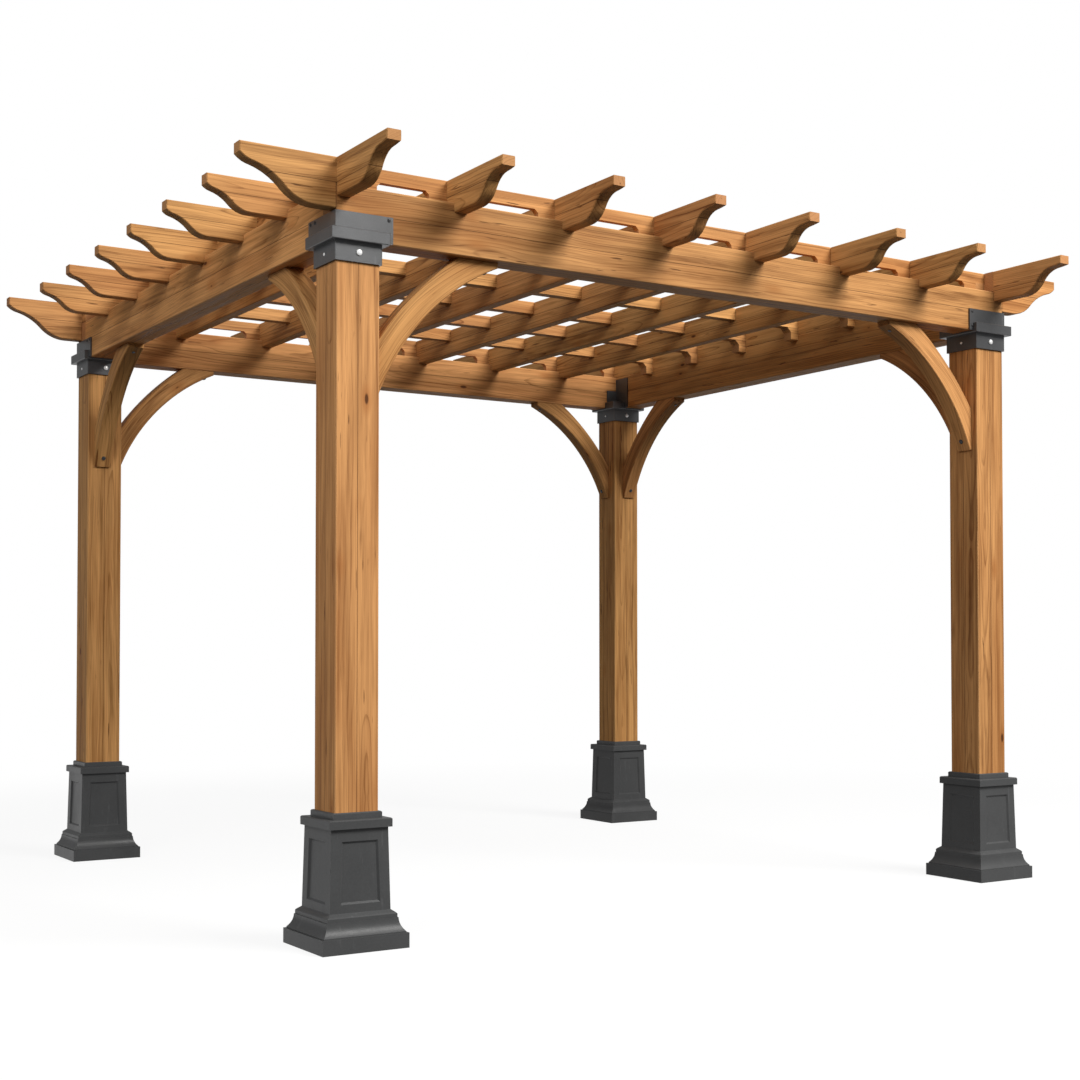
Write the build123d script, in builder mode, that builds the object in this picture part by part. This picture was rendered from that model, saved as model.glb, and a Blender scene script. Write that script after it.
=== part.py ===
from build123d import *
from math import cos, radians, sin
import os

# Wooden garden pergola: four posts in moulded bases, a ring of beams, knee braces and a crossed roof.
# X runs along the front, Y from the front to the back, Z up. The origin is on the ground, under the
# middle of the roof. All sizes are in millimetres.

# Plan
post_spacing_x = 2656.0  # centre to centre of the posts along the front
post_spacing_y = 2370.0  # centre to centre from front to back
fit = 0.3  # gap left where one piece passes through or beside another
edge_ease = 2.5  # bevel on the long edges of every timber

# Posts
post_width = 140.0
post_height = 2065.0

# Beams: a ring on top of the posts, flush with their outer faces
beam_width = 92.0
beam_depth = 158.0

# Roof members
rafter_thickness = 46.0
purlin_thickness = 46.0
rafter_count = 6  # between the two side rails
purlin_count = 6  # between the front and the back rail
roof_rise = 78.0  # top of the roof members above the top of the beams
rafter_depth = 108.0  # what lies below the top of the beams is notched over them
purlin_depth = 102.0
lap_depth = 39.0  # depth of the halving cut in the top of a rafter
rafter_corner_tail_depth = 114.0  # the crossed tails at a corner reach down outside the beams
purlin_corner_tail_depth = 150.0
rafter_tail_length = 280.0
purlin_tail_length = 262.0
rafter_corner_tail_length = 318.0
purlin_corner_tail_length = 300.0
nose_height = 30.0  # square end of a tail, above its curve
rail_thickness = 22.0  # of the front and the back rail, whose outer faces stand in mid beam
slot_height = 37.0  # gap under these rails
slot_margin = 62.0  # seat left beside each rafter there
slot_corner = 12.0
relief_height = 29.0  # the purlins are thinner between the side beams
relief_margin = 40.0
relief_corner = 20.0

# Ogee under each tail: belly, arch and lip are tangent arcs. They are drawn for the radii below and
# then scaled to the height that the tail has. The curve is steepest between belly and arch, and
# flattest between arch and lip.
rafter_belly_radius = 84.0
rafter_arch_radius = 78.0
rafter_lip_radius = 400.0
rafter_steep_angle = 57.0
rafter_flat_angle = 3.0
rafter_lip_angle = 9.0
purlin_belly_radius = 117.0
purlin_arch_radius = 165.0
purlin_lip_radius = 66.0
purlin_steep_angle = 46.0
purlin_flat_angle = 13.0
purlin_lip_angle = 46.0

# Knee braces
brace_thickness = 64.0
brace_setback = 26.0  # behind the outer face of the beam
brace_reach = 424.0  # along the beam, from the face of the post
brace_drop = 450.0  # down the post, from the underside of the beam
brace_seat_start = 284.0  # where the seat under the beam begins
brace_foot_start = 296.0  # where the foot on the post begins
brace_toe = 9.0  # width of the cut end at the foot
brace_clip = 17.0  # height of the cut end at the beam
brace_inner_bow = 61.0
brace_outer_bow = 19.0

# Moulded bases
plinth_width = 276.0
plinth_height = 44.0
cove_foot_width = 262.0
cove_head_width = 229.0
cove_height = 43.0
cove_lip = 4.0  # upright edge at the foot of the cove
cove_bow = 4.2
fillet_width = 224.0
fillet_height = 15.0
fillet_bevel = 4.0
body_foot_width = 194.0
body_foot_height = 110.0
body_head_width = 183.0
cap_width = 202.0
cap_foot_height = 350.0
cap_height = 26.0
cap_bevel = 3.0
collar_width = 157.0
collar_height = 19.0
collar_bevel = 3.0
base_wall = 11.0
panel_width_head = 116.0
panel_width_foot = 128.0
panel_border_head = 36.0
panel_border_foot = 24.0
panel_depth = 5.0
panel_bevel = 6.0

# Steel brackets
plate = 6.0
sleeve_length = 66.0
band_width = 190.0
band_height = 36.0
band_drop = 8.0  # how far the band reaches below the top of the post
outer_plate_length = 188.0
outer_plate_height = 80.0
plate_ease = 2.0  # bevel on the edges of the sleeve and the band
inner_leg_x = 62.0
inner_leg_x_height = 88.0
inner_leg_y = 95.0
inner_leg_y_height = 147.0

# Places that follow from the sizes
half_x = (post_spacing_x + post_width) / 2
half_y = (post_spacing_y + post_width) / 2
beam_top = post_height + beam_depth
roof_top = beam_top + roof_rise
lap_seat = roof_top - lap_depth
rafter_pitch = (2 * half_x - rafter_thickness) / (rafter_count + 1)
purlin_pitch = (2 * half_y - purlin_thickness) / (purlin_count + 1)
rafter_places = [-half_x + rafter_thickness / 2 + (i + 1) * rafter_pitch for i in range(rafter_count)]
purlin_places = [-half_y + purlin_thickness / 2 + (i + 1) * purlin_pitch for i in range(purlin_count)]
rail_x = half_x - beam_width + rafter_thickness / 2  # the side rails lie on the inner half of the beams
rail_y = half_y - beam_width / 2 - rail_thickness / 2
rafter_ogee = (
    rafter_belly_radius,
    rafter_arch_radius,
    rafter_lip_radius,
    rafter_steep_angle,
    rafter_flat_angle,
    rafter_lip_angle,
)
purlin_ogee = (
    purlin_belly_radius,
    purlin_arch_radius,
    purlin_lip_radius,
    purlin_steep_angle,
    purlin_flat_angle,
    purlin_lip_angle,
)

sides = {"left": -1, "right": 1}
ends = {"front": -1, "back": 1}


def save(piece, name):
    piece.part.label = name
    export_step(piece.part, f"parts/{name}.step")


def block(low, high, mode=Mode.ADD):
    """A box between two corners, which may be given in any order."""
    middle = [(a + b) / 2 for a, b in zip(low, high)]
    spans = [abs(a - b) for a, b in zip(low, high)]
    with Locations(tuple(middle)):
        Box(*spans, mode=mode)


def upright_plane(origin, direction):
    """A vertical plane through origin, with its own x along a level direction and its y up."""
    dx, dy = direction
    return Plane(origin=origin, x_dir=(dx, dy, 0), z_dir=(dy, -dx, 0))


# Posts


def make_post(x, y):
    with BuildPart() as post:
        block(
            (x - post_width / 2, y - post_width / 2, 0),
            (x + post_width / 2, y + post_width / 2, post_height),
        )
        chamfer(post.edges().filter_by(Axis.Z), length=edge_ease)
    return post


# Moulded bases


def base_outline():
    """Half of the outer profile of a base, with the middle of the post at 0."""
    cove_top = plinth_height + cove_height
    fillet_top = cove_top + fillet_height
    cap_top = cap_foot_height + cap_height
    collar_top = cap_top + collar_height
    with BuildSketch() as outline:
        with BuildLine():
            Polyline(
                (0, 0),
                (plinth_width / 2, 0),
                (plinth_width / 2, plinth_height),
                (cove_foot_width / 2, plinth_height),
                (cove_foot_width / 2, plinth_height + cove_lip),
            )
            SagittaArc(
                (cove_foot_width / 2, plinth_height + cove_lip),
                (cove_head_width / 2, cove_top),
                cove_bow,
            )
            Polyline(
                (cove_head_width / 2, cove_top),
                (fillet_width / 2, cove_top),
                (fillet_width / 2, fillet_top - fillet_bevel),
                (fillet_width / 2 - fillet_bevel, fillet_top),
                (body_foot_width / 2, body_foot_height),
                (body_head_width / 2, cap_foot_height),
                (cap_width / 2, cap_foot_height),
                (cap_width / 2, cap_top - cap_bevel),
                (cap_width / 2 - cap_bevel, cap_top),
                (collar_width / 2, cap_top),
                (collar_width / 2, collar_top - collar_bevel),
                (collar_width / 2 - collar_bevel, collar_top),
                (0, collar_top),
                (0, 0),
            )
        make_face()
    return outline.sketch


def cavity_outline():
    """Half of the profile of the hollow in a base."""
    cap_top = cap_foot_height + cap_height
    fillet_top = plinth_height + cove_height + fillet_height
    with BuildSketch() as outline:
        with BuildLine():
            Polyline(
                (0, 0),
                (plinth_width / 2 - base_wall, 0),
                (plinth_width / 2 - base_wall, plinth_height - base_wall),
                (fillet_width / 2 - base_wall, fillet_top - 2 * base_wall),
                (body_foot_width / 2 - base_wall - panel_depth, body_foot_height - base_wall),
                (body_head_width / 2 - base_wall - panel_depth, cap_foot_height),
                (body_head_width / 2 - base_wall - panel_depth, cap_top - base_wall),
                (0, cap_top - base_wall),
                (0, 0),
            )
        make_face()
    return outline.sketch


def square_turned(outline, span):
    """A solid with square level sections, each as wide as the outline is there."""
    with BuildPart() as solid:
        with BuildSketch(Plane.XZ):
            add(outline)
            mirror(about=Plane.YZ)
        extrude(amount=span, both=True)
        with BuildSketch(Plane.YZ):
            add(outline)
            mirror(about=Plane.YZ)
        extrude(amount=span, both=True, mode=Mode.INTERSECT)
    return solid.part


def make_base(x, y):
    collar_top = cap_foot_height + cap_height + collar_height
    body_rise = cap_foot_height - body_foot_height
    body_slope = (body_foot_width - body_head_width) / 2 / body_rise
    panel_low = body_foot_height + panel_border_foot
    panel_high = cap_foot_height - panel_border_head
    with BuildPart() as base:
        add(square_turned(base_outline(), plinth_width))
        add(square_turned(cavity_outline(), plinth_width), mode=Mode.SUBTRACT)
        hole = post_width / 2 + fit
        block((-hole, -hole, 0), (hole, hole, collar_top), mode=Mode.SUBTRACT)
        for dx, dy in ((1, 0), (0, 1), (-1, 0), (0, -1)):
            face_middle = body_foot_width / 2 - body_slope * (panel_low - body_foot_height)
            face = Plane(
                origin=(dx * face_middle, dy * face_middle, panel_low),
                x_dir=(-dy, dx, 0),
                z_dir=(dx, dy, body_slope),
            )
            rise = (panel_high - panel_low) * (1 + body_slope**2) ** 0.5
            with BuildSketch(face) as panel:
                with BuildLine():
                    Polyline(
                        (-panel_width_foot / 2, 0),
                        (panel_width_foot / 2, 0),
                        (panel_width_head / 2, rise),
                        (-panel_width_head / 2, rise),
                        (-panel_width_foot / 2, 0),
                    )
                make_face()
            with BuildSketch(face.offset(-panel_depth)):
                offset(panel.sketch_local, amount=-panel_bevel)
            loft(mode=Mode.SUBTRACT)
    base.part = base.part.moved(Location((x, y, 0)))
    return base


# Beams


def make_beam(low, high, along):
    with BuildPart() as beam:
        block(low, high)
        chamfer(beam.edges().filter_by(along), length=edge_ease)
    return beam


# Roof members


def tail_outline(tail_sides, seat, tail, depth, tail_depth, curve):
    """Side view of a roof member, with its top at height 0. On each tail side it runs from 0 over the
    seat and on into a tail, which may be deeper than the member itself."""
    belly_size, arch_size, lip_size, steep, flat, lip_end = curve
    a, b, c = radians(steep), radians(flat), radians(lip_end)
    run = belly_size * sin(a) + arch_size * (sin(a) - sin(b)) + lip_size * (sin(c) - sin(b))
    rise = belly_size * (1 - cos(a)) + arch_size * (cos(b) - cos(a)) + lip_size * (cos(b) - cos(c))
    scale = (tail_depth - nose_height) / rise
    tip = seat + tail
    curve_start = tip - run * scale
    step = seat + fit if tail_depth > depth else curve_start
    with BuildSketch() as outline:
        with BuildLine():
            for side in tail_sides:
                curve_foot = (side * curve_start, -tail_depth)
                belly = JernArc(curve_foot, (side, 0), belly_size * scale, side * steep)
                arch = JernArc(belly @ 1, belly % 1, arch_size * scale, side * (flat - steep))
                lip = JernArc(arch @ 1, arch % 1, lip_size * scale, side * (lip_end - flat))
                Line(lip @ 1, (side * tip, 0))
                Line((side * tip, 0), (0, 0))
                if tail_depth > depth:
                    Line(curve_foot, (side * step, -tail_depth))
                    Line((side * step, -tail_depth), (side * step, -depth))
                Line((side * step, -depth), (0, -depth))
            if len(tail_sides) == 1:
                Line((0, -depth), (0, 0))
        make_face()
    return outline.sketch


def timber(outline, plane, thickness):
    """A board with the outline as its broad face, and all the edges of its broad faces eased."""
    with BuildPart() as board:
        with BuildSketch(plane):
            add(outline)
        extrude(amount=thickness / 2, both=True)
        broad_faces = board.faces().filter_by(Axis(plane.origin, plane.z_dir))
        chamfer(broad_faces.edges(), length=edge_ease)
    return board.part


def cut_laps(at, along, width, low, high):
    """Halving cuts for the members of a given width that cross at each of the given places. along is
    the unit vector of the member that is cut and at gives the points on its middle line."""
    half_cut = width / 2 + fit
    reach_x = half_cut if along == (1, 0) else rafter_thickness
    reach_y = half_cut if along == (0, 1) else purlin_thickness
    for x, y in at:
        block((x - reach_x, y - reach_y, low), (x + reach_x, y + reach_y, high), mode=Mode.SUBTRACT)


def cut_tops(x):
    """Halving cuts in the top of a member along x, for the purlins and for the front and back rail."""
    purlins = [(x, y) for y in purlin_places]
    rails = [(x, out_y * rail_y) for out_y in ends.values()]
    cut_laps(purlins, (0, 1), purlin_thickness, lap_seat, roof_top + 1)
    cut_laps(rails, (0, 1), rail_thickness, lap_seat, roof_top + 1)


def make_rafter(x):
    plane = upright_plane((x, 0, roof_top), (0, 1))
    depth = rafter_depth
    outline = tail_outline((-1, 1), half_y, rafter_tail_length, depth, depth, rafter_ogee)
    with BuildPart() as rafter:
        add(timber(outline, plane, rafter_thickness))
        for out_y in ends.values():
            block(
                (x - rafter_thickness, out_y * (half_y + fit), 0),
                (x + rafter_thickness, out_y * (half_y - beam_width - fit), beam_top),
                mode=Mode.SUBTRACT,
            )
        cut_tops(x)
    return rafter


def make_purlin(y):
    plane = upright_plane((0, y, roof_top), (1, 0))
    depth = purlin_depth
    outline = tail_outline((-1, 1), half_x, purlin_tail_length, depth, depth, purlin_ogee)
    crossings = [(x, y) for x in [-rail_x] + rafter_places + [rail_x]]
    underside = roof_top - purlin_depth
    relief_length = 2 * (half_x - beam_width - relief_margin)
    relief_depth = beam_top + relief_height - underside
    with BuildPart() as purlin:
        add(timber(outline, plane, purlin_thickness))
        for out_x in sides.values():
            block(
                (out_x * (half_x + fit), y - purlin_thickness, 0),
                (out_x * (half_x - beam_width - fit), y + purlin_thickness, beam_top),
                mode=Mode.SUBTRACT,
            )
        with BuildSketch(upright_plane((0, y, underside), (1, 0))) as relief:
            Rectangle(relief_length, 2 * relief_depth)
            chamfer(relief.vertices(), length=relief_corner)
        extrude(amount=purlin_thickness, both=True, mode=Mode.SUBTRACT)
        cut_laps(crossings, (1, 0), rafter_thickness, underside, lap_seat)
    return purlin


def make_cross_rail(y):
    """The rail on the front or the back beam. A long shallow slot opens under it in every bay, and its
    ends meet the corner tails."""
    rail_end = half_x - rafter_thickness - fit
    crossings = [(x, y) for x in [-rail_x] + rafter_places + [rail_x]]
    with BuildPart() as rail:
        block(
            (-rail_end, y - rail_thickness / 2, beam_top),
            (rail_end, y + rail_thickness / 2, roof_top),
        )
        chamfer(rail.edges().filter_by(Axis.X), length=edge_ease)
        for (left, _), (right, _) in zip(crossings[:-1], crossings[1:]):
            slot_length = right - left - rafter_thickness - 2 * slot_margin
            with BuildSketch(upright_plane(((left + right) / 2, y, beam_top), (1, 0))) as slot:
                Rectangle(slot_length, 2 * slot_height)
                chamfer(slot.vertices(), length=slot_corner)
            extrude(amount=rail_thickness, both=True, mode=Mode.SUBTRACT)
        cut_laps(crossings, (1, 0), rafter_thickness, beam_top - 1, lap_seat)
    return rail


def make_side_rail(x):
    rail_end = half_y - purlin_thickness
    with BuildPart() as rail:
        block(
            (x - rafter_thickness / 2, -rail_end, beam_top),
            (x + rafter_thickness / 2, rail_end, roof_top),
        )
        chamfer(rail.edges().filter_by(Axis.Y), length=edge_ease)
        cut_tops(x)
    return rail


def make_corner_tails(out_x, out_y):
    """Two short deep tails that cross over a corner of the beams, one on the other."""
    tail_x = out_x * (half_x - rafter_thickness / 2)
    tail_y = out_y * (half_y - purlin_thickness / 2)
    forward_plane = upright_plane((tail_x, out_y * (half_y - beam_width), roof_top), (0, out_y))
    sideways_plane = upright_plane((out_x * (half_x - rafter_thickness), tail_y, roof_top), (out_x, 0))
    forward_shape = (roof_rise, rafter_corner_tail_depth, rafter_ogee)
    sideways_shape = (roof_rise, purlin_corner_tail_depth, purlin_ogee)
    forward = tail_outline((1,), beam_width, rafter_corner_tail_length, *forward_shape)
    sideways = tail_outline((1,), rafter_thickness, purlin_corner_tail_length, *sideways_shape)
    with BuildPart() as lower_tail:
        add(timber(forward, forward_plane, rafter_thickness))
        cut_laps([(tail_x, tail_y)], (0, 1), purlin_thickness, lap_seat - fit, roof_top + 1)
    with BuildPart() as tails:
        add(timber(sideways, sideways_plane, purlin_thickness))
        cut_laps([(tail_x, tail_y)], (1, 0), rafter_thickness, beam_top - 1, lap_seat)
        add(lower_tail.part)
    return tails


# Knee braces


def make_brace(origin, direction):
    """origin is on the face of the post, at the underside of the beam, in the middle of the brace."""
    with BuildPart() as brace:
        with BuildSketch(upright_plane(origin, direction)):
            with BuildLine():
                Line((0, -brace_foot_start), (0, -brace_drop))
                Line((0, -brace_drop), (brace_toe, -brace_drop))
                SagittaArc((brace_toe, -brace_drop), (brace_reach, -brace_clip), brace_inner_bow)
                Line((brace_reach, -brace_clip), (brace_reach, 0))
                Line((brace_reach, 0), (brace_seat_start, 0))
                SagittaArc((brace_seat_start, 0), (0, -brace_foot_start), -brace_outer_bow)
            make_face()
        extrude(amount=brace_thickness / 2, both=True)
        broad_faces = brace.faces().filter_by(Axis(origin, (direction[1], direction[0], 0)))
        chamfer(broad_faces.edges(), length=edge_ease)
    return brace


# Steel brackets


def make_bracket(x, y, out_x, out_y):
    """out_x and out_y are -1 or 1 and point away from the middle of the pergola."""
    inside = post_width / 2 + fit
    outside = inside + plate
    beam_back = beam_width - post_width / 2 + fit
    band = band_width / 2
    band_low = post_height - band_drop
    band_high = band_low + band_height

    def piece(across, along, low, high, mode=Mode.ADD):
        """across and along are ranges measured outwards from the middle of the post."""
        block(
            (x + out_x * across[0], y + out_y * along[0], low),
            (x + out_x * across[1], y + out_y * along[1], high),
            mode=mode,
        )

    with BuildPart() as square_ring:
        piece((-band, band), (-band, band), band_low, band_high)
        chamfer(square_ring.edges(), length=plate_ease)

    with BuildPart() as bracket:
        piece((-outside, outside), (-outside, outside), post_height - sleeve_length, band_high)
        chamfer(bracket.edges().filter_by(Axis.Z), length=plate_ease)
        add(square_ring.part)
        plate_top = post_height + outer_plate_height
        plate_end = outside - outer_plate_length
        piece((plate_end, outside), (inside, outside), post_height, plate_top)
        piece((inside, outside), (plate_end, outside), post_height, plate_top)
        sleeve_low = post_height - sleeve_length
        piece((-inside, inside), (-inside, inside), sleeve_low, plate_top, mode=Mode.SUBTRACT)
        beam_run = -band - 1
        piece((beam_run, inside), (-beam_back, inside), post_height, beam_top, mode=Mode.SUBTRACT)
        piece((-beam_back, inside), (beam_run, inside), post_height, beam_top, mode=Mode.SUBTRACT)
        leg = -beam_back - plate
        piece(
            (-beam_back - inner_leg_x, -beam_back),
            (leg, -beam_back),
            post_height,
            post_height + inner_leg_x_height,
        )
        piece(
            (leg, -beam_back),
            (-beam_back - inner_leg_y, -beam_back),
            post_height,
            post_height + inner_leg_y_height,
        )
    return bracket


# The pieces, each in its own file

os.makedirs("parts", exist_ok=True)

for end, out_y in ends.items():
    for side, out_x in sides.items():
        x = out_x * post_spacing_x / 2
        y = out_y * post_spacing_y / 2
        save(make_post(x, y), f"post_{end}_{side}")
        save(make_base(x, y), f"base_{end}_{side}")
        save(make_bracket(x, y, out_x, out_y), f"bracket_{end}_{side}")
        from_outer_face = brace_setback + brace_thickness / 2
        along_x = (x - out_x * post_width / 2, out_y * (half_y - from_outer_face), post_height)
        along_y = (out_x * (half_x - from_outer_face), y - out_y * post_width / 2, post_height)
        save(make_brace(along_x, (-out_x, 0)), f"brace_{end}_{side}_along_{end}")
        save(make_brace(along_y, (0, -out_y)), f"brace_{end}_{side}_along_{side}")

for end, out_y in ends.items():
    beam = make_beam(
        (-half_x, out_y * half_y, post_height),
        (half_x, out_y * (half_y - beam_width), beam_top),
        Axis.X,
    )
    save(beam, f"beam_{end}")

for side, out_x in sides.items():
    beam_end = half_y - beam_width - fit
    beam = make_beam(
        (out_x * half_x, -beam_end, post_height),
        (out_x * (half_x - beam_width), beam_end, beam_top),
        Axis.Y,
    )
    save(beam, f"beam_{side}")

for number, x in enumerate(rafter_places, start=1):
    save(make_rafter(x), f"rafter_{number}")

for number, y in enumerate(purlin_places, start=1):
    save(make_purlin(y), f"purlin_{number}")

for end, out_y in ends.items():
    save(make_cross_rail(out_y * rail_y), f"rail_{end}")
    for side, out_x in sides.items():
        save(make_corner_tails(out_x, out_y), f"corner_tails_{end}_{side}")

for side, out_x in sides.items():
    save(make_side_rail(out_x * rail_x), f"rail_{side}")
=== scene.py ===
import bpy, bmesh, math
from mathutils import Matrix, Vector


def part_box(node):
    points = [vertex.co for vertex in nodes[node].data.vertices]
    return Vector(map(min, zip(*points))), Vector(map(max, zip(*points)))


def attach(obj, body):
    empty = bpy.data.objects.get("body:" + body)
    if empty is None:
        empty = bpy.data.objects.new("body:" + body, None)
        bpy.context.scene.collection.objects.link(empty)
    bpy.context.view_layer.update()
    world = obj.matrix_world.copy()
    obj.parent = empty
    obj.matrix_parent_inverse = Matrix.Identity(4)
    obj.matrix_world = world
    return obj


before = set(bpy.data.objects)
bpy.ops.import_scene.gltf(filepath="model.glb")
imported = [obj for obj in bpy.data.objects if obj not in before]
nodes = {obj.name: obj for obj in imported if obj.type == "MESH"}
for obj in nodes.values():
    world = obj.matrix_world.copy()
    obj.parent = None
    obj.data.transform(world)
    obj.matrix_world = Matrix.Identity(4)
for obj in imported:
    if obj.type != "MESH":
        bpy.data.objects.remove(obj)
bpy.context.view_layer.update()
print("frame loaded with", len(nodes), "pieces")

ends = {"front": -1, "back": 1}
sides = {"left": -1, "right": 1}


# node tree helpers

def addNode(tree, kind, settings=None, inputs=None):
    node = tree.nodes.new(kind)
    for name, value in (settings or {}).items():
        setattr(node, name, value)
    for name, value in (inputs or {}).items():
        if isinstance(value, bpy.types.NodeSocket):
            tree.links.new(value, node.inputs[name])
        else:
            node.inputs[name].default_value = value
    return node


def maths(tree, operation, a, b=0.0, c=0.0, clamp=False):
    settings = {"operation": operation, "use_clamp": clamp}
    return addNode(tree, "ShaderNodeMath", settings, {0: a, 1: b, 2: c}).outputs[0]


def spread(tree, value, low, high, toLow=0.0, toHigh=1.0, smooth=False):
    kind = "SMOOTHSTEP" if smooth else "LINEAR"
    node = addNode(tree, "ShaderNodeMapRange", {"interpolation_type": kind},
                   {0: value, 1: low, 2: high, 3: toLow, 4: toHigh})
    return node.outputs[0]


def blendColours(tree, amount, first, second):
    node = addNode(tree, "ShaderNodeMix", {"data_type": "RGBA"}, {"Factor": amount})
    for place, colour in ((6, first), (7, second)):
        if isinstance(colour, bpy.types.NodeSocket):
            tree.links.new(colour, node.inputs[place])
        else:
            node.inputs[place].default_value = (*colour, 1)
    return node.outputs[2]


def stretched(tree, vector, scale, shift=(0, 0, 0)):
    inputs = {"Vector": vector, "Scale": scale, "Location": shift}
    return addNode(tree, "ShaderNodeMapping", {}, inputs).outputs[0]


def noise(tree, vector, scale=1.0, detail=3.0, roughness=0.5):
    inputs = {"Vector": vector, "Scale": scale, "Detail": detail, "Roughness": roughness}
    return addNode(tree, "ShaderNodeTexNoise", {}, inputs).outputs[0]


def startMaterial(name):
    material = bpy.data.materials.new(name)
    material.use_nodes = True
    tree = material.node_tree
    shader = tree.nodes["Principled BSDF"]
    return material, tree, shader


# timber

timber = {
    "lightTone": (0.66, 0.335, 0.122),
    "darkTone": (0.130, 0.044, 0.010),
    "redTone": (0.34, 0.128, 0.034),
    # painted highlight colour for the eased edges
    "edgeHighlightTone": (0.72, 0.41, 0.18),
    "knotTone": (0.060, 0.020, 0.007),
    "jointTone": (0.050, 0.020, 0.008),
    "endTone": (0.50, 0.245, 0.100),
    "ringSpacing": 0.0068,
    "ringWaver": 0.042,
    "ringSway": 0.007,
    "ringWeight": 0.62,
    "streakWeight": 0.46,
    "fibreWeight": 0.22,
    "knotWeight": 0.88,
    "checkWeight": 0.75,
    "jointWeight": 0.8,
    "roughness": 0.58,
    "jointWidth": 0.0012,
    # width of the painted highlight along the eased edges
    "edgeHighlightWidth": 0.0045,
    "roofBoardHalf": 0.023,
}


def splitPlace(tree, middle):
    # the object's own coordinates, measured from a point
    place = addNode(tree, "ShaderNodeTexCoord").outputs["Object"]
    centred = addNode(tree, "ShaderNodeVectorMath", {"operation": "SUBTRACT"}, {0: place, 1: middle})
    return addNode(tree, "ShaderNodeSeparateXYZ", {}, {0: centred.outputs[0]}).outputs


def faceTurn(tree, axis):
    # how squarely a face looks along an axis, from 0 to 1
    normal = addNode(tree, "ShaderNodeNewGeometry").outputs["True Normal"]
    facing = addNode(tree, "ShaderNodeVectorMath", {"operation": "DOT_PRODUCT"}, {0: normal, 1: axis})
    return maths(tree, "ABSOLUTE", facing.outputs["Value"])


def boardSpace(tree, grain, middle):
    # along the grain, across the board, up or back through it, and the end grain
    split = splitPlace(tree, middle)
    order = {"X": (0, 1, 2), "Y": (1, 0, 2), "Z": (2, 0, 1)}[grain]
    axis = {"X": (1, 0, 0), "Y": (0, 1, 0), "Z": (0, 0, 1)}[grain]
    return [split[i] for i in order] + [faceTurn(tree, axis)]


def bentSpace(tree, centre, along, across, bend):
    # follows the bend of a brace round its centre
    split = splitPlace(tree, centre)
    level, side, height = split["XY".index(along)], split["XY".index(across)], split[2]
    radius = maths(tree, "SQRT", maths(tree, "ADD", maths(tree, "MULTIPLY", level, level),
                                       maths(tree, "MULTIPLY", height, height)))
    turn = maths(tree, "ARCTAN2", height, maths(tree, "ABSOLUTE", level))
    return [maths(tree, "MULTIPLY", turn, bend), maths(tree, "SUBTRACT", radius, bend), side, 0.0]


def crossedSpace(tree, corner, half, height):
    # two boards that cross: outside the corner along X, or over it, the grain runs along X
    split = splitPlace(tree, (0, 0, height))
    awayX, awayY = maths(tree, "ABSOLUTE", split[0]), maths(tree, "ABSOLUTE", split[1])
    slack = 0.0004
    past = maths(tree, "GREATER_THAN", awayX, corner[0] + half + slack)
    besideY = maths(tree, "ABSOLUTE", maths(tree, "SUBTRACT", awayY, corner[1]))
    over = maths(tree, "LESS_THAN", besideY, half + slack)
    alongX = maths(tree, "MAXIMUM", past, over)
    sideX, sideY = maths(tree, "SUBTRACT", awayX, corner[0]), maths(tree, "SUBTRACT", awayY, corner[1])
    along = spread(tree, alongX, 0.0, 1.0, awayY, awayX)
    across = spread(tree, alongX, 0.0, 1.0, sideX, sideY)
    endFace = spread(tree, alongX, 0.0, 1.0, faceTurn(tree, (0, 1, 0)), faceTurn(tree, (1, 0, 0)))
    return [along, across, split[2], endFace]


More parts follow.
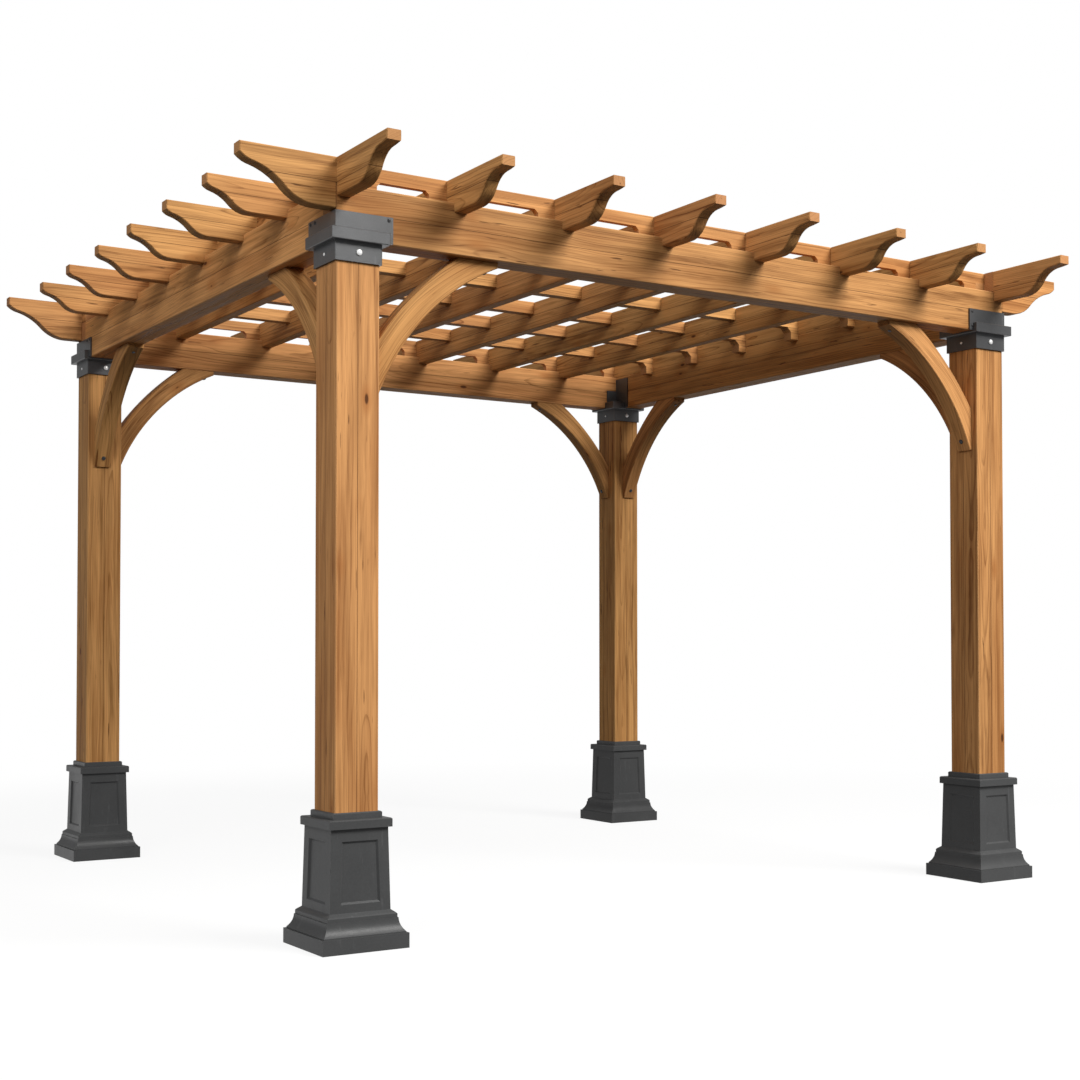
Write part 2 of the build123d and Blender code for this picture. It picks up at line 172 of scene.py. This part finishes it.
def timberMaterial(name, space, seed, halves, pith, tilt, joints, paintedLightLevel=1.0):
    material, tree, shader = startMaterial(name)
    along, wide, deep, endTurn = space(tree)
    drift = 3.7 * seed
    board = addNode(tree, "ShaderNodeCombineXYZ", {}, {0: along, 1: wide, 2: deep}).outputs[0]
    board = addNode(tree, "ShaderNodeVectorMath", {"operation": "ADD"},
                    {0: board, 1: (drift, 0.83 * drift, 1.31 * drift)}).outputs[0]

    # growth rings round a pith that lies in or beside the board, leans and wavers
    waver = noise(tree, stretched(tree, board, (1.6, 5, 5)), 1.0, 2.0)
    sway = noise(tree, stretched(tree, board, (5.5, 20, 20), (5, 2, 7)), 1.0, 2.0)
    offsets = []
    for across, middle, lean in ((wide, pith[0], tilt[0]), (deep, pith[1], tilt[1])):
        off = maths(tree, "ADD", across, middle)
        off = maths(tree, "ADD", off, maths(tree, "MULTIPLY", along, lean))
        offsets.append(maths(tree, "MULTIPLY", off, off))
    reach = maths(tree, "SQRT", maths(tree, "ADD", *offsets))
    reach = maths(tree, "ADD", reach, maths(tree, "MULTIPLY", waver, timber["ringWaver"]))
    reach = maths(tree, "ADD", reach, maths(tree, "MULTIPLY", sway, timber["ringSway"]))
    uneven = addNode(tree, "ShaderNodeTexNoise", {"noise_dimensions": "1D"},
                     {"W": maths(tree, "ADD", reach, drift), "Scale": 55.0, "Detail": 1.0}).outputs[0]
    count = maths(tree, "DIVIDE", reach, timber["ringSpacing"])
    count = maths(tree, "ADD", count, maths(tree, "MULTIPLY", uneven, 2.2))
    ring = maths(tree, "FRACT", count)
    ringNumber = maths(tree, "ADD", maths(tree, "FLOOR", count), 31.7 * seed)
    vigour = addNode(tree, "ShaderNodeTexWhiteNoise", {"noise_dimensions": "1D"},
                     {"W": ringNumber}).outputs["Value"]
    late = addNode(tree, "ShaderNodeValToRGB", {}, {"Fac": ring})
    ramp = late.color_ramp.elements
    ramp[0].position, ramp[0].color = 0.0, (0.6, 0.6, 0.6, 1)
    ramp[1].position, ramp[1].color = 0.08, (0.0, 0.0, 0.0, 1)
    for position, level in ((0.50, 0.06), (0.80, 0.36), (0.92, 1.0)):
        ramp.new(position).color = (level, level, level, 1)
    late = maths(tree, "MULTIPLY", late.outputs[0], spread(tree, vigour, 0.1, 0.9, 0.2, 1.0))

    fibres = noise(tree, stretched(tree, board, (2.4, 150, 150)), 1.0, 3.0, 0.6)
    streaks = noise(tree, stretched(tree, board, (1.7, 42, 42), (3, 9, 1)), 1.0, 4.0, 0.65)
    patches = noise(tree, stretched(tree, board, (1.3, 8, 8), (8, 1, 4)), 1.0, 3.0)
    stains = noise(tree, stretched(tree, board, (3.0, 34, 34), (6, 4, 9)), 1.0, 3.0, 0.55)
    streakAmount = spread(tree, streaks, 0.40, 0.66)
    fibreAmount = spread(tree, fibres, 0.3, 0.7)
    ringFade = spread(tree, patches, 0.36, 0.60, 0.45, 1.0)
    ringAmount = maths(tree, "MULTIPLY", late, ringFade)
    darkness = maths(tree, "MULTIPLY", streakAmount, timber["streakWeight"])
    darkness = maths(tree, "ADD", darkness, maths(tree, "MULTIPLY", ringAmount, timber["ringWeight"]))
    fibreDark = maths(tree, "MULTIPLY", fibreAmount, timber["fibreWeight"])
    darkness = maths(tree, "ADD", darkness, fibreDark, clamp=True)
    colour = blendColours(tree, darkness, timber["lightTone"], timber["darkTone"])
    colour = blendColours(tree, spread(tree, patches, 0.47, 0.70, 0.0, 0.50), colour, timber["redTone"])
    colour = blendColours(tree, spread(tree, stains, 0.61, 0.76, 0.0, 0.65), colour, timber["darkTone"])

    # end grain is paler and plainer
    endFace = spread(tree, endTurn, 0.82, 0.97)
    speckle = noise(tree, stretched(tree, board, (8, 160, 160), (1, 4, 2)), 1.0, 3.0, 0.65)
    endDark = maths(tree, "ADD", maths(tree, "MULTIPLY", late, 0.35),
                    maths(tree, "MULTIPLY", speckle, 0.3), clamp=True)
    endColour = blendColours(tree, endDark, timber["endTone"], timber["darkTone"])
    colour = blendColours(tree, endFace, colour, endColour)

    # knots and short drying checks
    cells = addNode(tree, "ShaderNodeTexVoronoi", {"feature": "F1"}, {
        "Vector": stretched(tree, board, (4.2, 11, 11), (2, 5, 3)), "Scale": 1.0, "Randomness": 1.0})
    chance = addNode(tree, "ShaderNodeSeparateXYZ", {}, {0: cells.outputs["Color"]}).outputs[0]
    away = cells.outputs["Distance"]
    rarity = 0.55
    picked = maths(tree, "GREATER_THAN", chance, rarity)
    size = spread(tree, chance, rarity, 1.0, 0.012, 0.055)
    knot = spread(tree, maths(tree, "SUBTRACT", away, size), 0.0, 0.035, 1.0, 0.0)
    knot = maths(tree, "MULTIPLY", knot, picked)
    halo = maths(tree, "MULTIPLY", spread(tree, away, 0.05, 0.28, 0.6, 0.0, True), picked)
    colour = blendColours(tree, halo, colour, timber["redTone"])
    knotDark = maths(tree, "MULTIPLY", knot, timber["knotWeight"])
    colour = blendColours(tree, knotDark, colour, timber["knotTone"])
    cracks = noise(tree, stretched(tree, board, (7.5, 95, 95), (7, 3, 6)), 1.0, 2.0, 0.5)
    check = spread(tree, cracks, 0.70, 0.75)
    checkDark = maths(tree, "MULTIPLY", check, timber["checkWeight"])
    colour = blendColours(tree, checkDark, colour, timber["knotTone"])

    # joint lines in the middle of the faces, and a painted highlight along the eased edges
    line = None
    width = timber["jointWidth"]
    for across, wanted in ((wide, joints[0]), (deep, joints[1])):
        if wanted:
            near = spread(tree, maths(tree, "ABSOLUTE", across), 0.4 * width, width, 1.0, 0.0)
            line = near if line is None else maths(tree, "MAXIMUM", line, near)
    if line is not None:
        line = maths(tree, "MULTIPLY", line, maths(tree, "SUBTRACT", 1.0, endFace))
        lineDark = maths(tree, "MULTIPLY", line, timber["jointWeight"])
        colour = blendColours(tree, lineDark, colour, timber["jointTone"])
    # painted highlight: the eased edges are made paler in colour, where light would catch them
    if halves:
        border = timber["edgeHighlightWidth"]
        highlightWide = spread(tree, maths(tree, "ABSOLUTE", wide), halves[0] - border, halves[0])
        highlightDeep = spread(tree, maths(tree, "ABSOLUTE", deep), halves[1] - border, halves[1])
        paintedEdgeHighlight = maths(tree, "MULTIPLY", highlightWide, highlightDeep)
        colour = blendColours(tree, maths(tree, "MULTIPLY", paintedEdgeHighlight, 0.5), colour, timber["edgeHighlightTone"])

    # the board's light factor paints light or shade into its whole colour; the small sine term is a random
    # tone
    tone = addNode(tree, "ShaderNodeHueSaturation", {}, {
        "Color": colour, "Value": paintedLightLevel * (0.98 + 0.05 * math.sin(2.3 * seed)),
        "Hue": 0.5 + 0.003 * math.sin(5 * seed)})
    tree.links.new(tone.outputs[0], shader.inputs["Base Color"])
    rough = timber["roughness"]
    tree.links.new(spread(tree, darkness, 0.0, 1.0, rough + 0.05, rough - 0.08), shader.inputs["Roughness"])
    height = maths(tree, "ADD", maths(tree, "MULTIPLY", fibres, 0.35), maths(tree, "MULTIPLY", late, -0.25))
    height = maths(tree, "SUBTRACT", height, maths(tree, "ADD", knot, check))
    if line is not None:
        height = maths(tree, "SUBTRACT", height, maths(tree, "MULTIPLY", line, 1.5))
    bump = addNode(tree, "ShaderNodeBump", {}, {"Strength": 0.35, "Distance": 0.0018, "Height": height})
    tree.links.new(bump.outputs[0], shader.inputs["Normal"])
    shader.inputs["Specular IOR Level"].default_value = 0.07
    return material


def paintNode(name, material):
    for holder in nodes[name].material_slots:
        holder.material = material


def halfSizes(name, grain):
    low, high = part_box(name)
    half = (high - low) / 2
    middle = (high + low) / 2
    order = {"X": (1, 2), "Y": (0, 2), "Z": (0, 1)}[grain]
    return middle, (half[order[0]], half[order[1]])


def finishTimber(name, grain, seed, joints, tilt, paintEdgeHighlights=True, paintedLightLevel=1.0):
    middle, half = halfSizes(name, grain)
    turn = 1.7 * seed
    pithWide = 0.9 * half[0] * math.cos(turn) + 0.02 * math.sin(3 * turn)
    pithDeep = half[1] * 1.15 * math.sin(turn) + 0.035
    paintNode(name, timberMaterial(name + "Wood", lambda tree: boardSpace(tree, grain, middle), seed,
                                   half if paintEdgeHighlights else None, (pithWide, pithDeep), tilt, joints, paintedLightLevel))


# painted light and shade: some boards are made paler or darker in colour, to stand in for the light that
# falls on them more or less strongly
boardPaintedLight = {"beam_front": 0.95, "beam_back": 1.05, "beam_left": 1.28, "beam_right": 1.12}

seed = 1
for end, outY in ends.items():
    for side, outX in sides.items():
        lean = (-1) ** seed
        name = f"post_{end}_{side}"
        middle, half = halfSizes(name, "Z")
        pith, tilt = (0.030 * lean, 0.035), (0.004, 0.012 * lean)
        paintNode(name, timberMaterial(name + "Wood", lambda tree: boardSpace(tree, "Z", middle), seed,
                                       half, pith, tilt, (True, True)))
        seed += 1
for name, grain in (("beam_front", "X"), ("beam_back", "X"), ("beam_left", "Y"), ("beam_right", "Y")):
    finishTimber(name, grain, seed, (True, True), (0.03, 0.02), True, boardPaintedLight[name])
    seed += 1
for number in range(1, 7):
    finishTimber(f"rafter_{number}", "Y", seed, (False, True), (0.03, 0.02), False)
    finishTimber(f"purlin_{number}", "X", seed + 0.5, (False, True), (-0.03, 0.02), False)
    seed += 1
for name, grain in (("rail_front", "X"), ("rail_back", "X"), ("rail_left", "Y"), ("rail_right", "Y")):
    finishTimber(name, grain, seed, (False, False), (0.02, 0.02))
    seed += 1
for end, outY in ends.items():
    for side, outX in sides.items():
        name = f"corner_tails_{end}_{side}"
        low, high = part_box(name)
        beamLow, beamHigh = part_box("beam_front")
        half = timber["roofBoardHalf"]
        corner = (beamHigh.x - half, -beamLow.y - half)
        height = (low.z + high.z) / 2
        paintNode(name, timberMaterial(
            name + "Wood", lambda tree: crossedSpace(tree, corner, half, height),
            seed, None, (0.06, 0.09), (0.03, 0.04), (False, True)))
        seed += 1

# each knee brace has an arched inner edge that runs from its foot to its head
brace = {"foot": (0.009, -0.450), "head": (0.424, -0.017), "bow": 0.061, "width": 0.06}

footPoint, headPoint = Vector(brace["foot"]), Vector(brace["head"])
chord = headPoint - footPoint
braceRadius = (chord.length ** 2 / 4 + brace["bow"] ** 2) / (2 * brace["bow"])
squareOff = Vector((chord.y, -chord.x)).normalized()
braceCentre = (footPoint + headPoint) / 2 + (braceRadius - brace["bow"]) * squareOff
braceBend = braceRadius + brace["width"] / 2

for end, outY in ends.items():
    for side, outX in sides.items():
        for run in (end, side):
            name = f"brace_{end}_{side}_along_{run}"
            low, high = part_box(name)
            alongX = run == end
            middle = (low + high) / 2
            drop = high.z + braceCentre.y
            if alongX:
                postFace = low.x if outX < 0 else high.x
                centre = (postFace - outX * braceCentre.x, middle.y, drop)
                along, across = "X", "Y"
            else:
                postFace = low.y if outY < 0 else high.y
                centre = (middle.x, postFace - outY * braceCentre.x, drop)
                along, across = "Y", "X"
            paintNode(name, timberMaterial(
                name + "Wood", lambda tree: bentSpace(tree, centre, along, across, braceBend),
                seed, None, (0.12, 0.05), (0.05, 0.03), (False, False)))
            seed += 1
print("timber finished")


# dark metal and moulded bases

bracketFinish = {"tone": (0.062, 0.063, 0.065), "paleTone": (0.095, 0.097, 0.100), "roughness": 0.36,
                 "metallic": 0.30, "specular": 0.45}
baseFinish = {"tone": (0.054, 0.055, 0.056), "paleTone": (0.078, 0.079, 0.080), "roughness": 0.33,
              "metallic": 0.0, "specular": 0.16}


def coatedMaterial(name, finish, grainSize, bumpDepth):
    material, tree, shader = startMaterial(name)
    place = addNode(tree, "ShaderNodeTexCoord").outputs["Object"]
    cloud = noise(tree, place, 5.0, 4.0, 0.6)
    grainy = noise(tree, place, grainSize, 3.0, 0.7)
    scuffs = noise(tree, stretched(tree, place, (60, 60, 9)), 1.0, 4.0, 0.6)
    amount = maths(tree, "ADD", spread(tree, cloud, 0.35, 0.7, 0.0, 0.5),
                   spread(tree, grainy, 0.4, 0.7, 0.0, 0.3))
    colour = blendColours(tree, amount, finish["tone"], finish["paleTone"])
    scuffTone = tuple(2.0 * part for part in finish["paleTone"])
    colour = blendColours(tree, spread(tree, scuffs, 0.62, 0.80, 0.0, 0.35), colour, scuffTone)
    tree.links.new(colour, shader.inputs["Base Color"])
    rough = finish["roughness"]
    rough = maths(tree, "ADD", spread(tree, cloud, 0.3, 0.7, rough - 0.05, rough + 0.07),
                  spread(tree, scuffs, 0.5, 0.8, 0.0, 0.08))
    tree.links.new(rough, shader.inputs["Roughness"])
    shader.inputs["Metallic"].default_value = finish["metallic"]
    shader.inputs["Specular IOR Level"].default_value = finish["specular"]
    bump = addNode(tree, "ShaderNodeBump", {}, {"Strength": 0.35, "Distance": bumpDepth, "Height": grainy})
    tree.links.new(bump.outputs[0], shader.inputs["Normal"])
    return material


bracketMaterial = coatedMaterial("bracketCoat", bracketFinish, 260.0, 0.0006)
baseMaterial = coatedMaterial("baseComposite", baseFinish, 180.0, 0.0009)
for end in ends:
    for side in sides:
        paintNode(f"bracket_{end}_{side}", bracketMaterial)
        paintNode(f"base_{end}_{side}", baseMaterial)
print("metal and bases finished")


# bolts and screws

fixing = {"boltRadius": 0.0095, "boltHeight": 0.0055, "screwRadius": 0.0055, "screwHeight": 0.0026,
          "braceBoltRadius": 0.0085, "braceBoltHeight": 0.005, "braceBolts": ((0.06, 1.0), (0.945, 0.8)),
          "sideBoltShare": 0.5, "boltDrop": 0.037, "bracketFace": 0.0763, "plateReach": 0.188,
          "screwInset": 0.014, "screwGap": 0.030, "screwHeights": (0.070, 0.016),
          "zinc": (0.90, 0.90, 0.89), "dark": (0.035, 0.035, 0.036)}


def metalMaterial(name, tone, roughness, metallic):
    material, tree, shader = startMaterial(name)
    place = addNode(tree, "ShaderNodeTexCoord").outputs["Object"]
    fine = noise(tree, place, 420.0, 3.0, 0.6)
    darker = tuple(0.6 * part for part in tone)
    colour = blendColours(tree, spread(tree, fine, 0.3, 0.7, 0.0, 0.5), tone, darker)
    tree.links.new(colour, shader.inputs["Base Color"])
    tree.links.new(spread(tree, fine, 0.3, 0.7, roughness - 0.06, roughness + 0.1),
                   shader.inputs["Roughness"])
    shader.inputs["Metallic"].default_value = metallic
    return material


zincMaterial = metalMaterial("boltZinc", fixing["zinc"], 0.30, 0.35)
screwMaterial = metalMaterial("screwDark", fixing["dark"], 0.42, 0.6)


def addDome(mesh, place, axis, radius, height, recess):
    # a round head that stands on a surface: a rim, a dome and, for a screw, a driver recess
    part = bmesh.new()
    bmesh.ops.create_circle(part, cap_ends=True, segments=14, radius=radius)
    face = part.faces[:][0]
    for inset, lift in ((0.0, 0.42), (0.20, 0.30), (0.32, 0.20), (0.22, 0.08)):
        if inset:
            bmesh.ops.inset_region(part, faces=[face], thickness=inset * radius, use_even_offset=True)
        else:
            made = bmesh.ops.extrude_face_region(part, geom=[face])
            face = [item for item in made["geom"] if isinstance(item, bmesh.types.BMFace)][0]
        bmesh.ops.translate(part, verts=face.verts[:], vec=(0, 0, lift * height))
    if recess:
        bmesh.ops.inset_region(part, faces=[face], thickness=0.04 * radius, use_even_offset=True)
        bmesh.ops.translate(part, verts=face.verts[:], vec=(0, 0, -0.5 * height))
    bmesh.ops.recalc_face_normals(part, faces=part.faces)
    turn = Vector((0, 0, 1)).rotation_difference(Vector(axis)).to_matrix().to_4x4()
    bmesh.ops.transform(part, matrix=Matrix.Translation(Vector(place)) @ turn, verts=part.verts)
    held = bpy.data.meshes.new("head")
    part.to_mesh(held)
    part.free()
    mesh.from_mesh(held)
    bpy.data.meshes.remove(held)


def finishPiece(mesh, name, material):
    data = bpy.data.meshes.new(name)
    mesh.to_mesh(data)
    mesh.free()
    for face in data.polygons:
        face.use_smooth = True
    piece = bpy.data.objects.new(name, data)
    bpy.context.scene.collection.objects.link(piece)
    data.materials.append(material)
    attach(piece, "root")
    return piece


bolts, screws, braceBolts = bmesh.new(), bmesh.new(), bmesh.new()
face = fixing["bracketFace"]  # from the middle of a post to the outside of its bracket
far = face - fixing["plateReach"] + fixing["screwInset"]  # near the free end of an outer plate
for end, outY in ends.items():
    for side, outX in sides.items():
        low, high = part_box(f"post_{end}_{side}")
        x, y, top = (low.x + high.x) / 2, (low.y + high.y) / 2, high.z
        small = fixing["sideBoltShare"]
        for dx, dy, size in ((outX, 0, small), (0, outY, 1.0), (-outX, 0, small), (0, -outY, 1.0)):
            addDome(bolts, (x + dx * face, y + dy * face, top - fixing["boltDrop"]), (dx, dy, 0),
                    size * fixing["boltRadius"], size * fixing["boltHeight"], False)
        for across in (far, far + fixing["screwGap"]):
            addDome(screws, (x + outX * face, y + outY * across, top + fixing["screwHeights"][0]),
                    (outX, 0, 0), fixing["screwRadius"], fixing["screwHeight"], True)
        for height in fixing["screwHeights"]:
            addDome(screws, (x + outX * far, y + outY * face, top + height), (0, outY, 0),
                    fixing["screwRadius"], fixing["screwHeight"], True)
finishPiece(bolts, "bracket_bolts", zincMaterial)
finishPiece(screws, "bracket_screws", screwMaterial)

# the bolts of a brace stand on the middle line of its inner edge
footSweep = math.atan2(footPoint.y - braceCentre.y, footPoint.x - braceCentre.x)
headSweep = math.atan2(headPoint.y - braceCentre.y, headPoint.x - braceCentre.x)
for end, outY in ends.items():
    for side, outX in sides.items():
        for run in (end, side):
            low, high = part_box(f"brace_{end}_{side}_along_{run}")
            for share, size in fixing["braceBolts"]:
                sweep = footSweep + share * (headSweep - footSweep)
                inward = Vector((math.cos(sweep), math.sin(sweep)))
                out, down = braceCentre + braceRadius * inward
                if run == end:
                    postFace = low.x if outX < 0 else high.x
                    place = (postFace - outX * out, (low.y + high.y) / 2, high.z + down)
                    axis = (outX * inward.x, 0, -inward.y)
                else:
                    postFace = low.y if outY < 0 else high.y
                    place = ((low.x + high.x) / 2, postFace - outY * out, high.z + down)
                    axis = (0, outY * inward.x, -inward.y)
                addDome(braceBolts, place, axis, size * fixing["braceBoltRadius"],
                        size * fixing["braceBoltHeight"], True)
finishPiece(braceBolts, "brace_bolts", screwMaterial)
print("bolts and screws added")


# floor, light and camera

studio = {"keyPower": 1020.0, "fillPower": 115.0, "skyStrength": 0.40, "floorBounce": 0.05,
          "floorGlow": 0.88}

floorMesh = bmesh.new()
bmesh.ops.create_grid(floorMesh, x_segments=1, y_segments=1, size=60.0)
floorData = bpy.data.meshes.new("floor")
floorMesh.to_mesh(floorData)
floorMesh.free()
floor = bpy.data.objects.new("floor", floorData)
bpy.context.scene.collection.objects.link(floor)
floorMaterial, tree, shader = startMaterial("floorPaper")
shader.inputs["Base Color"].default_value = (*(3 * [studio["floorBounce"]]), 1)
shader.inputs["Roughness"].default_value = 0.9
shader.inputs["Specular IOR Level"].default_value = 0.1
paper = addNode(tree, "ShaderNodeBsdfDiffuse", {}, {"Color": (0.9, 0.9, 0.9, 1)})
glow = addNode(tree, "ShaderNodeEmission", {}, {"Color": (1, 1, 1, 1), "Strength": 1.0})
place = addNode(tree, "ShaderNodeTexCoord").outputs["Object"]
away = addNode(tree, "ShaderNodeVectorMath", {"operation": "LENGTH"}, {0: place}).outputs["Value"]
paperFade = spread(tree, away, 2.8, 6.0, studio["floorGlow"], 1.0, True)
seen = addNode(tree, "ShaderNodeMixShader", {}, {"Fac": paperFade, 1: paper.outputs[0], 2: glow.outputs[0]})
rays = addNode(tree, "ShaderNodeLightPath").outputs
direct = maths(tree, "MAXIMUM", rays["Is Camera Ray"], rays["Is Glossy Ray"])
direct = maths(tree, "MAXIMUM", direct, rays["Is Transmission Ray"])
final = addNode(tree, "ShaderNodeMixShader", {}, {"Fac": direct, 1: shader.outputs[0], 2: seen.outputs[0]})
tree.links.new(final.outputs[0], tree.nodes["Material Output"].inputs["Surface"])
floorData.materials.append(floorMaterial)

world = bpy.data.worlds.new("studioSky")
bpy.context.scene.world = world
world.use_nodes = True
tree = world.node_tree
sky = tree.nodes["Background"]
sky.inputs["Color"].default_value = (1, 1, 1, 1)
sky.inputs["Strength"].default_value = studio["skyStrength"]
backdrop = addNode(tree, "ShaderNodeBackground", {}, {"Color": (1, 1, 1, 1), "Strength": 1.0})
rays = addNode(tree, "ShaderNodeLightPath").outputs
direct = maths(tree, "MAXIMUM", rays["Is Camera Ray"], rays["Is Transmission Ray"])
mixed = addNode(tree, "ShaderNodeMixShader", {}, {"Fac": direct, 1: sky.outputs[0], 2: backdrop.outputs[0]})
tree.links.new(mixed.outputs[0], tree.nodes["World Output"].inputs["Surface"])


def addSoftbox(name, place, aim, size, power, colour):
    lamp = bpy.data.lights.new(name, "AREA")
    lamp.shape = "RECTANGLE"
    lamp.size, lamp.size_y = size
    lamp.energy = power
    lamp.color = colour
    holder = bpy.data.objects.new(name, lamp)
    holder.location = place
    holder.rotation_euler = (Vector(aim) - Vector(place)).to_track_quat("-Z", "Y").to_euler()
    bpy.context.scene.collection.objects.link(holder)


addSoftbox("keyLight", (3.0, -6.4, 6.7), (0, -0.2, 1.2), (4.4, 3.4), studio["keyPower"], (1.0, 0.99, 0.97))
addSoftbox("fillLight", (-4.8, -3.4, 4.3), (-0.4, 0, 1.8), (2.5, 2.5), studio["fillPower"], (1.0, 1.0, 1.0))

camera = {"place": (-3.4314, -5.5431, 0.8852), "yaw": 32.293, "pitch": 1.43, "lens": 54.35,
          "shift": (0.0062, 0.0578)}
lensData = bpy.data.cameras.new("photoCamera")
lensData.sensor_width = 36
lensData.lens = camera["lens"]
lensData.shift_x, lensData.shift_y = camera["shift"]
photoCamera = bpy.data.objects.new("photoCamera", lensData)
photoCamera.location = camera["place"]
photoCamera.rotation_euler = (math.radians(90 + camera["pitch"]), 0, math.radians(-camera["yaw"]))
bpy.context.scene.collection.objects.link(photoCamera)
bpy.context.scene.camera = photoCamera
bpy.context.scene.view_settings.view_transform = "Standard"
print("floor, light and camera set")
